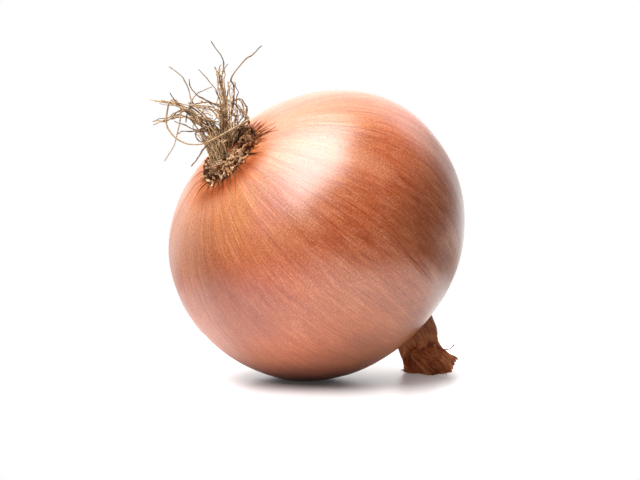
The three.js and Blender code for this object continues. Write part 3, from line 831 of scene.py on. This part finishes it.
def build_collar_flakes(material):
    """Broken scale bases: small bent wedges that stand round the plate, each turned and sized by draws. The
    inner ones are crumbs on the crown's bare side."""
    draw = np.random.default_rng(29)
    angle = draw.uniform(0, 2 * np.pi, FLAKES)
    outward = draw.beta(1.2, 1.1, FLAKES)
    bare = bare_side(angle)
    outward = outward + (1 - outward) * 0.3 * bare
    distance = WELL_RADIUS + 0.5 + (PLATE_RADIUS - WELL_RADIUS - 0.9) * outward + 0.3 * bare
    foot_height = 1.9 - 2.3 * outward**2 - 0.4 * bare
    crumb = draw.random(FLAKES) < 0.28

    def sized(crumb_range, flake_range):
        return np.where(crumb, draw.uniform(*crumb_range, FLAKES), draw.uniform(*flake_range, FLAKES))

    length = sized((0.6, 1.4), (1.0, 2.6))
    width = sized((0.45, 1.1), (0.3, 0.8))
    thick = sized((0.35, 0.75), (0.12, 0.3))
    lower = smooth_step(np.cos(angle - 2.6), 0.1, 0.9)
    lean = ((outward - 0.4) * 1.3 + draw.normal(0, 0.55, FLAKES) - 0.4 * lower)[:, None]
    length = length * (1 - 0.4 * lower)
    distance = distance - 1.0 * lower + 1.8 * outward * smooth_step(np.cos(angle + 2.6), 0.6, 0.95)
    distance = distance - 0.6 * outward * smooth_step(np.cos(angle), 0.5, 0.9)
    inside = crumb & (np.cos(angle + 1.9) > 0) & (outward < 0.75)
    distance = np.where(inside, CROWN_RADIUS + 1.5 * outward - 1.2, distance)
    foot_height = np.where(inside, 2.1 - 1.2 * outward, foot_height)
    sway = draw.normal(0, 0.95, (FLAKES, 1))
    radial = together(np.cos(angle), 0, np.sin(angle))
    out = np.array([0.0, -1.0, 0.0])
    tangent = np.cross(radial, out)
    rise = unit(np.cos(lean) * out + np.sin(lean) * radial + np.sin(sway) * tangent)
    broad = unit(np.cross(rise, radial + draw.normal(0, 0.5, (FLAKES, 3))))
    deep = np.cross(broad, rise)

    # Four rings of four corners: level along the flake, and how wide each ring is.
    level, narrowing = np.array([[-0.6, 0.25, 0.7, 1.0], [1.0, 0.95, 0.75, 0.3]])[..., None, None]
    corner = np.array([[-0.5, -0.5], [0.5, -0.5], [0.5, 0.5], [-0.5, 0.5]])
    jitter = draw.normal(0, 0.12, (FLAKES, 4, 4, 3))
    length, width, thick = (size[:, None, None, None] for size in (length, width, thick))
    rise, broad, deep = (side[:, None, None] for side in (rise, broad, deep))
    bend = 0.3 * draw.normal(0, 1, (FLAKES, 1, 1, 1)) * level**2 * deep
    wide = width * narrowing * corner[:, :1] * broad
    through = thick * corner[:, 1:] * deep
    foot = collar_place(distance, angle, foot_height)[:, None, None]
    points = foot + length * level * rise + wide + through + bend + jitter * length * 0.9
    # Painted shade: each flake darkens towards its foot, and the flakes on the collar's upper right side are
    # darker.
    shaded = 1 - 0.6 * smooth_step(np.cos(angle + 0.5), 0.3, 0.8)
    tone = draw.beta(1.2, 0.8, (FLAKES, 1)) * shaded[:, None] * np.array([0.1, 0.6, 1.1, 1.3])
    shade = np.repeat(np.minimum(tone, 1).ravel(), 4)
    faces = stack_faces(FLAKES, 4, 4)
    add_piece("collar_flakes", points.reshape(-1, 3), faces, "root_plate", material, shade, False)


# The long splinters: turn, start, length and thickness.
LONG_SPLINTERS = (
    (-2.95, 9.6, 2.5, 0.12), (-2.76, 9.6, 4.2, 0.17), (-2.6, 9.6, 4.3, 0.26), (-2.48, 9.8, 5.1, 0.2),
    (-2.33, 10.2, 5.6, 0.23), (-2.21, 10.2, 3.2, 0.22), (-2.08, 10.4, 6.7, 0.17), (-2.03, 10.4, 5.7, 0.12),
    (-1.9, 9.8, 7.0, 0.12), (-1.69, 9.3, 3.3, 0.17), (-1.48, 8.8, 5.7, 0.19), (-1.04, 8.4, 4.1, 0.22),
    (-0.82, 8.8, 5.4, 0.14), (-0.75, 9.2, 5.6, 0.13), (-0.52, 9.2, 4.7, 0.12), (-0.3, 9.6, 2.6, 0.1),
)


def build_collar_splinters(material):
    """Dark splinters of torn skin that lie on the bulb and fan out of the collar: tapered tubes along lines
    that start at the plate's edge. The long ones are listed and grow paler to their tips."""
    draw = np.random.default_rng(31)
    angle = draw.uniform(0, 2 * np.pi, SPLINTERS)
    chosen = draw.random(SPLINTERS)
    angle = np.where(chosen < 0.28, draw.normal(-2.35, 0.35, SPLINTERS), angle)
    angle = np.where(chosen > 0.8, draw.normal(-0.75, 0.35, SPLINTERS), angle)
    start = PLATE_RADIUS - 1.2 + draw.uniform(-0.5, 0.3, SPLINTERS)
    length = np.minimum(draw.gamma(2.2, 1.2, SPLINTERS) + 1.0, 5.0)
    length = length * (1 - 0.5 * smooth_step(np.cos(angle - 3.0), 0.8, 0.95))
    bend, lift = draw.normal(0, 0.03, SPLINTERS), draw.uniform(-0.01, 0.05, SPLINTERS)
    width, tone = draw.gamma(3.0, 0.035, SPLINTERS), draw.uniform(-0.9, 0.0, SPLINTERS)
    longer = len(LONG_SPLINTERS)
    hand_set = [*np.array(LONG_SPLINTERS).T, draw.normal(0, 0.012, longer)]
    hand_set += [np.full(longer, value) for value in (0.02, -0.15, 0.5)]
    drawn = (angle, start, length, width, bend, lift, tone, 0 * tone)
    angle, start, length, width, bend, lift, tone, paling = np.hstack([drawn, hand_set])[..., None]
    share = np.linspace(0, 1, 12)
    reach = start + length * share
    turned = angle + bend * share * length
    flat_x = reach * np.cos(turned) - PLATE_OFFSET + COLLAR_SHIFT[0]
    flat_z = reach * np.sin(turned) + COLLAR_SHIFT[1]
    height = skin_height(flat_x, flat_z) - lift - 0.25 * (1 - share) ** 2
    centres = together(flat_x, height, flat_z)
    points, faces = tube_skins(centres, width * (1 - share * 0.9) + 0.015, 5)
    shade = np.repeat((tone - paling * share).ravel(), 5)
    add_piece("collar_splinters", points, faces, "root_plate", material, shade)


def skin_height(x, z):
    """The skin's place along the axis, on the root side, above a point of the cross plane."""
    swollen_x = UPPER_SWELL * math.cos(SWELL_TURN)
    swollen_z = -UPPER_SWELL * math.sin(SWELL_TURN)
    spread = np.hypot(x, z) / EQUATOR_RADIUS
    spread = np.hypot(x - swollen_x * spread**2, z - swollen_z * spread**2) / EQUATOR_RADIUS
    rise = (1 - spread**ROOT_FULLNESS) ** (1 / ROOT_FULLNESS)
    from_plate = np.hypot(x + PLATE_OFFSET, z) / ROOT_DIP_RADIUS
    return -ROOT_HALF * rise + ROOT_DIP * np.exp(-(from_plate**4))


# ------------ roots
SIDE = ONION_AXES @ np.array([math.cos(TUFT_TURN), -math.sin(TUFT_TURN), 0])
FRONT = ONION_AXES @ np.array([-math.sin(TUFT_TURN), -math.cos(TUFT_TURN), 0])
RISE = ONION_AXES @ np.array([0.0, 0.0, 1.0])
TUFT_AXES = np.array([SIDE, FRONT, RISE])

# Each lock: how many roots, how far apart they run at its start and at its end, and the knots of its route
# (side, front, rise). Each stray root has a route alone.
LOCKS = (
    (
        4, 1.2, 0.5,
        (-2.9, 2.6, 6.8), (-5.5, 3.2, 8.6), (-8.6, 3.8, 10.4), (-11.1, 4.2, 12.2), (-19.6, 5, 14.2),
    ),
    (3, 0.9, 0.4, (-1.6, 2, 7.4), (-2.6, 2.2, 10.1), (-5, 2.8, 11.8), (-11, 3.8, 12.8), (-19, 4.9, 13.7)),
    (2, 0.8, 0.4, (-4.2, 3, 5.5), (-7, 3.6, 8.1), (-9.6, 4, 10.4), (-11.9, 4.3, 12.2), (-14, 4.6, 13.8)),
    (4, 1, 0.4, (-5, 2.8, 4.9), (-9.3, 2.4, 9.1), (-11.2, 2.2, 10), (-13.4, 2.2, 9.8), (-18.6, 2.7, 8.1)),
    (3, 0.9, 0.4, (-4.6, 2.4, 5.6), (-9.8, 2, 10.4), (-11.9, 2, 11.2), (-15, 2.4, 9.6), (-19, 2.8, 8.6)),
    (2, 1.2, 0.7, (-1.9, 2, 7.4), (-2, 2.2, 10.4), (-2.5, 2.4, 14), (-2.8, 2.6, 17.6), (-3.3, 2.7, 21.4)),
    (2, 1.1, 0.7, (-1.6, 1.8, 7.4), (-1.8, 2, 11.9), (-1.9, 2.3, 16), (-1.7, 2.6, 19.6), (-1.6, 2.8, 22)),
    (2, 0.9, 0.7, (-2, 1.4, 8), (-2.6, 1.6, 13.5), (-2.2, 2, 17.6), (-2.7, 2.2, 20.4), (-2.1, 2.4, 22.6)),
    (2, 1.1, 0.8, (-0.5, 1.4, 7.4), (-0.2, 1.2, 10.9), (0.1, 1, 14.5), (-0.2, 0.9, 17.4), (0.2, 0.8, 18.7)),
    (2, 0.9, 0.8, (0.4, 1, 7.6), (0.9, 0.8, 11.4), (1.1, 0.7, 14.5), (1.2, 0.7, 17.2), (0.5, 0.8, 18.5)),
    (2, 0.8, 0.8, (-1.2, 0.8, 8), (-0.4, 0.8, 12.6), (0.5, 0.8, 16), (0.2, 0.8, 18.2)),
    (3, 0.7, 0.5, (1.8, -0.6, 7), (3.4, -1, 9.8), (3.7, -0.9, 12.2), (2.5, -0.4, 14), (0.9, 0, 13.8)),
    (3, 0.6, 0.5, (2.4, -0.2, 6.8), (4.3, -0.4, 8.3), (3.4, -0.2, 10.4), (1.4, 0.2, 12.8), (-2.6, 0.6, 14.6)),
    (2, 0.8, 0.9, (1.2, -1.6, 7.4), (2.2, -2, 10.4), (0.8, -2, 12.4), (-1.6, -1.4, 11.4)),
    (2, 0.9, 0.9, (-1.6, -1.4, 8), (-3.4, -2.8, 10.6), (-6, -3.4, 13), (-8.8, -3.2, 14.2)),
    (3, 0.6, 0.6, (-3.2, 2.4, 6.3), (-3.9, 2.8, 7.8), (-5.2, 3.2, 9.3), (-6.8, 3.4, 9.6), (-8, 3.5, 7.9)),
)

STRAYS = (
    ((-1.2, 2.4, 11), (-2, 2.4, 18.3), (-1.5, 2.6, 21.7), (-2, 3, 24.4), (-4.6, 3.6, 28.1)),
    (
        (0.5, 0.8, 12), (0.9, 0.4, 17.2), (0.2, 0.2, 19.4), (3.7, -0.6, 23.9), (5.4, -1, 25.1),
        (7.6, -1.6, 27.3),
    ),
    ((-5, 1.4, 8.6), (-9.2, 0.6, 13.4), (-10.4, 0.4, 17.3), (-12, 0, 19.8), (-14.9, -0.6, 22.2)),
    ((-1.6, 3.4, 10.4), (-3.8, 3.8, 12.9), (-7, 4.2, 14.5), (-9.2, 4.2, 16.6), (-9.9, 4, 19)),
    ((-2.2, 1, 11.6), (-3.2, 0.6, 15.6), (-4.6, 0.2, 17.9), (-7.8, -0.6, 21.5)),
    ((-7.4, 2, 9), (-9.8, 1.4, 12.4), (-8.2, 1, 15.3), (-4.4, 0.6, 17.3)),
    ((-4.4, 2.6, 6), (-8.3, 3.2, 6.7), (-10.8, 3.6, 7.8), (-13.4, 4, 8.8)),
    ((-3.8, 2.8, 4.6), (-5.8, 3.6, 2.8), (-7.4, 4, 0.4), (-9.3, 4.2, -2.1)),
    (
        (2.4, -0.2, 7.2), (4.4, 1.6, 9), (3.4, 4.4, 8.4), (0.5, 6.8, 6.7), (-2.8, 7.4, 4.8),
        (-6, 7.2, 3.5), (-9.4, 6.6, 3.2), (-12.6, 5.6, 4.4), (-14.8, 5, 7), (-15.2, 4.6, 10),
        (-14.6, 4.3, 13.2), (-13.6, 4.1, 14), (-12.4, 4, 13.2), (-11.9, 4, 11.6), (-12, 4.1, 8.8),
        (-12.8, 4.3, 5), (-13.6, 4.6, 2.6), (-15.8, 4.8, -0.9),
    ),
    ((-4.2, 3.4, 5.6), (-8.4, 4.2, 6.3), (-11.4, 4.6, 6.3), (-12.7, 4.8, 5.6)),
    ((-5, 3, 7.6), (-9, 3.6, 12), (-10.2, 3.8, 10.6), (-10.7, 3.9, 8.4)),
    ((-5.2, 4, 7), (-7.9, 4.8, 6.1), (-8, 5, 4.9), (-7.2, 5.2, 3.9), (-5.8, 5.2, 3.8)),
    ((-1, 0.6, 11), (-5, 0.4, 13.4), (-8.4, 0.4, 13), (-10.4, 0.4, 13.3)),
    ((-1.4, 2.4, 12), (-2.4, 2.6, 18.3), (-2.6, 2.8, 20), (-3.7, 3, 22)),
    ((-1, 2.2, 12), (-2, 2.2, 18.4), (-1.8, 2, 20.6), (-0.5, 1.6, 22.7)),
    ((-5.4, 3, 7), (-10, 4, 11), (-12.3, 4.4, 12.7), (-14.4, 4.8, 15.6)),
)


def tuft_points(places):
    """Side, front and rise from the plate's middle, in mm, to the onion's frame."""
    return PLATE_CENTRE + np.asarray(places, dtype=float) @ TUFT_AXES


def crown_points(upper, across):
    """Points on top of the crown, from the middle of the patch that carries roots."""
    return together(upper - ROOT_SHIFT, 0, across) + PLATE_CENTRE


def golden_spots():
    """An even spread of spots for the brush, each one golden angle on from the last and further out."""
    k = np.arange(BRUSH_ROOTS)
    distance = ROOT_SPREAD * np.sqrt((k + 0.5) / BRUSH_ROOTS)
    return distance * np.cos(GOLDEN_ANGLE * k), distance * np.sin(GOLDEN_ANGLE * k)


def brush_top(upper, across):
    """Where the straight part of a root ends: the brush widens towards a level top."""
    side = BRUSH_TOP[0] + BRUSH_WIDENING * upper
    front = BRUSH_TOP[1] - BRUSH_DEEPENING * across
    return tuft_points(together(side, front, BRUSH_TOP[2]))


def starts_under(places, scatter):
    """The spots on the crown under places at the top of the brush, scattered by up to a few tenths."""
    upper = (places[:, 0] - BRUSH_TOP[0]) / BRUSH_WIDENING + scatter[0]
    across = (BRUSH_TOP[1] - places[:, 1]) / BRUSH_DEEPENING + scatter[1]
    inward = np.minimum(1, ROOT_SPREAD / np.maximum(np.hypot(upper, across), 0.01))
    return crown_points(upper * inward, across * inward)


def grown(draw, starts, routes, count, kink):
    """Centre lines of roots: from under the crown's top, straight above the start, then along the route."""
    foot, throat = starts - ROOT_FOOT, starts - THROAT
    control = np.concatenate([foot[:, None], throat[:, None], routes], axis=1)
    return kinked(path_points(control, count), draw, kink)


def kinked(centres, draw, size):
    """Adds the small random bends of a dried root, growing from its foot: three random waves each way."""
    paths, rows = centres.shape[:2]
    share = np.linspace(0, 1, rows)[None, :, None]
    bend = np.zeros_like(centres)
    for waves, height in ((4, 1.0), (9, 0.45), (17, 0.2)):
        phase = draw.uniform(0, 2 * np.pi, (paths, 1, 3))
        count = draw.uniform(0.7, 1.3, (paths, 1, 3)) * waves
        bend += height * np.sin(2 * np.pi * count * share + phase)
    return centres + size * bend * smooth_step(share, 0.08, 0.4)


def lock_roots(draw):
    """Centre lines of all roots that run in locks."""
    lines = []
    for count, near, far, *route in LOCKS:
        share = np.linspace(0, 1, len(route))[None, :]
        turned = (GOLDEN_ANGLE * np.arange(count) + draw.uniform(0, 1, count))[:, None] + LOCK_TWIST * share
        reach = draw.uniform(0.3, 1.15, count)[:, None] * (near + (far - near) * share)
        places = np.array(route, dtype=float)[None] * np.ones((count, 1, 1))
        places[:, -1] += (places[:, -2] - places[:, -1]) * draw.uniform(-0.05, 0.45, (count, 1))
        offset = together(np.cos(turned), np.sin(turned), 0.5 * np.sin(2 * turned))
        places = places + reach[..., None] * offset
        starts = starts_under(places[:, 0], draw.normal(0, 0.4, (2, count)))
        lines.append(grown(draw, starts, tuft_points(places), 44, 0.18))
    return np.concatenate(lines)


def brush_tones():
    """Tones of each brush root, painted light and shade: golden on its lit left side, dark on its right."""
    left = smooth_step(-golden_spots()[0], -1.5, 2.5)[:, None]
    return -0.35 + 0.65 * left, 1.0 + 0 * left


def brush_roots(draw):
    """Centre lines of the short broken roots that make the dense brush at the plate."""
    upper, across = golden_spots()
    starts = crown_points(upper, across)
    throat = starts - THROAT
    span = brush_top(upper, across) - throat
    middle = throat + 0.5 * span + draw.normal(0, 0.16, span.shape)
    end = throat + span * draw.uniform(0.55, 1.05, (BRUSH_ROOTS, 1)) + draw.normal(0, 0.4, span.shape)
    return grown(draw, starts, np.stack([middle, end], axis=1), 26, 0.09)


def stray_roots(draw):
    """Centre lines of the single long roots, the loop among them."""
    lines = []
    for route in STRAYS:
        places = np.array([route], dtype=float)
        starts = starts_under(places[:, 0], draw.normal(0, 0.4, (2, 1)))
        lines.append(grown(draw, starts, tuft_points(places), 96, 0.06))
    return np.concatenate(lines)


def curl_roots(draw):
    """Centre lines of thin broken ends that curl out of the tuft's left and middle part."""
    home = together(*(draw.uniform(*span, CURL_ROOTS) for span in ((-9, 2), (0, 5), (6, 13))))
    each = (CURL_ROOTS, 1)
    size = draw.uniform(1.2, 2.6, each)
    turn = draw.uniform(0, 2 * np.pi, each) + np.linspace(0, 1, 5) * draw.uniform(2, 4.5, each)
    tilt = draw.uniform(-0.6, 0.6, each)
    places = together(size * np.cos(turn), size * np.sin(turn) * tilt, size * np.sin(turn))
    return kinked(path_points(tuft_points(home[:, None] + places), 30), draw, 0.08)


def root_batch(lines, draw, thick, tones):
    """Points, faces and shades of roots along centre lines, thinner to the tip, with small swellings."""
    paths, rows = lines.shape[:2]
    share = np.linspace(0, 1, rows)[None]
    phase = draw.uniform(0, 6.3, (paths, 1))
    radii = draw.uniform(*thick, (paths, 1)) * (1 - 0.45 * share**2)
    radii = radii * (1 + 0.12 * np.sin(23 * share + phase) + 0.08 * np.sin(51 * share + 2 * phase))
    points, faces = tube_skins(lines, radii, ROOT_SIDES)
    tone = tones[0] + (tones[1] - tones[0]) * draw.beta(0.5, 0.6, (paths, 1))
    tone = tone + 0.12 * np.sin(9 * share + phase)
    return points, faces, np.repeat(np.clip(tone, -1, 1).ravel(), ROOT_SIDES)


def build_roots(material):
    """All roots as tubes in one piece: locks, brush, strays with the paler loop, and curls."""
    draw = np.random.default_rng(47)
    looped = (np.arange(len(STRAYS)) == LOOP_NUMBER)[:, None]
    points, faces, shade = joined([
        root_batch(lock_roots(draw), draw, LOCK_RADII, (0.25, 1.0)),
        root_batch(brush_roots(draw), draw, BRUSH_RADII, brush_tones()),
        root_batch(stray_roots(draw), draw, STRAY_RADII, (LOOP_TONE * looped, 0.4 + LOOP_TONE * looped)),
        root_batch(curl_roots(draw), draw, CURL_RADII, (0.1, 0.8)),
    ])
    add_piece("root_strands", points, faces, "roots", material, shade)


def build_crown(material):
    """The woody crown under the brush: a low lathed dome, rough all over."""
    profile = np.array([
        [0.02, 3.4], [2, 3.1], [3.3, 2.4], [CROWN_RADIUS, 1.5], [CROWN_RADIUS, 0.8], [3, 0.7], [0.02, 0.7],
    ])
    grid = plate_place(*lathed(profile, 40, 120))
    grid[..., 0] -= CROWN_SHIFT
    rough = value_noise(grid, 0.8, 61)
    grid[..., 1] -= 0.6 * rough * smooth_step(-(grid[..., 1] - PLATE_CENTRE[1]), 1.1, 1.6)
    points, faces = capped_grid(grid[::-1])
    bare = grid[..., 0] - PLATE_CENTRE[0] - 0.6 * grid[..., 2] + 1.2 * rough > 1.2
    shade = np.where(bare, 1.4 + 0.4 * rough, 0.1 + 0.8 * rough)
    shade = np.append(shade[::-1], [-1, -1])
    add_piece("root_crown", points, faces, "roots", material, shade)


# ------------ ground, light and camera
def camera_axes():
    """The camera's right, up and backward directions in the row frame."""
    sine, cosine = math.sin(CAMERA_AZIMUTH), math.cos(CAMERA_AZIMUTH)
    level = math.cos(CAMERA_ELEVATION)
    back = np.array([sine * level, -cosine * level, math.sin(CAMERA_ELEVATION)])
    right = np.array([cosine, sine, 0.0])
    return right, np.cross(back, right), back


def add_camera():
    """The camera, turned and moved so that the onion lies a little left of and above the middle."""
    right, up, back = camera_axes()
    place = (CENTRE + CAMERA_DISTANCE * back + AIM_RIGHT * right + AIM_UP * up) * MM
    data = bpy.data.cameras.new("camera")
    data.lens = CAMERA_LENS
    data.sensor_width = CAMERA_SENSOR
    data.clip_start = 0.01
    camera = bpy.data.objects.new("camera", data)
    turned = Matrix(np.array([right, up, back]).T.tolist()).to_4x4()
    camera.matrix_world = Matrix.Translation(Vector(place)) @ turned
    bpy.context.scene.collection.objects.link(camera)
    bpy.context.scene.camera = camera


def add_ground():
    """A round white table top, a little wider than the light needs."""
    turn = full_turn(96)
    rim = together(GROUND_REACH * np.cos(turn), GROUND_REACH * np.sin(turn), -GROUND_DROP)
    mesh = bpy.data.meshes.new("ground")
    mesh.from_pydata(rim.tolist(), [], [list(range(len(rim)))])
    mesh.materials.append(painted("white_ground", ground_surface))
    ground = bpy.data.objects.new("ground", mesh)
    bpy.context.scene.collection.objects.link(ground)


def add_studio():
    """A white studio as the sky: a pale wall behind, a long soft box overhead to the left, dark in front."""
    right, up, back = camera_axes()
    world = bpy.data.worlds.new("studio")
    bpy.context.scene.world = world
    paint = Paint(world)
    direction = paint.add("ShaderNodeTexCoord", {}, {}, "Generated")

    def towards(axis):
        values = {0: direction, 1: tuple(float(v) for v in axis)}
        return paint.add("ShaderNodeVectorMath", {"operation": "DOT_PRODUCT"}, values, "Value")

    upwards, right_side, front = towards(up), towards(right), towards(back)
    sideways, forwards = (side / upwards.most(0.05) for side in (right_side, front))
    right_edge = (1 - sideways.between(BOX_RIGHT - 0.05, BOX_RIGHT)) * upwards.between(0.1, 0.3)
    left_side, far_side = sideways + forwards * 0.3, forwards - sideways * 0.5
    slanted = forwards + sideways * BOX_SLANT

    def soft_box(left, back, front):
        return left_side.between(*left) * right_edge * far_side.between(*back) * slanted.between(*front)

    shaded = right_side.between(WALL_RIGHT, WALL_RIGHT + 0.35) * upwards.between(0.62, 0.42)
    wall = (-front).between(0.2, 0.75) * upwards.between(-0.22, -0.03)
    wall = wall * (1 - shaded * upwards.between(-0.05, 0.2) * 0.8)
    glow = DARK_STRENGTH + (WALL_STRENGTH - DARK_STRENGTH) * wall
    glow = glow + soft_box(*BOX_EDGES) * BOX_STRENGTH + soft_box(*CORE_EDGES) * CORE_STRENGTH
    camera_ray = paint.add("ShaderNodeLightPath", {}, {}, "Is Camera Ray")
    white = {"Color": (1, 1, 1, 1), "Strength": glow * (1 - camera_ray) + camera_ray}
    paint.show("ShaderNodeOutputWorld", paint.add("ShaderNodeBackground", {}, white))


add_camera()
add_ground()
add_studio()
bpy.context.scene.view_settings.view_transform = "Standard"

for material_name, surface, builders in (
    ("copper_skin", skin_surface, [build_bulb]),
    ("dry_leaf_bases", neck_surface, [build_neck, build_neck_sheets]),
    ("crumbled_plate", plate_surface, [build_plate_rim, build_collar_flakes, build_collar_splinters]),
    ("dried_roots", root_surface, [build_crown, build_roots]),
):
    material = painted(material_name, surface)
    for build in builders:
        build(material)
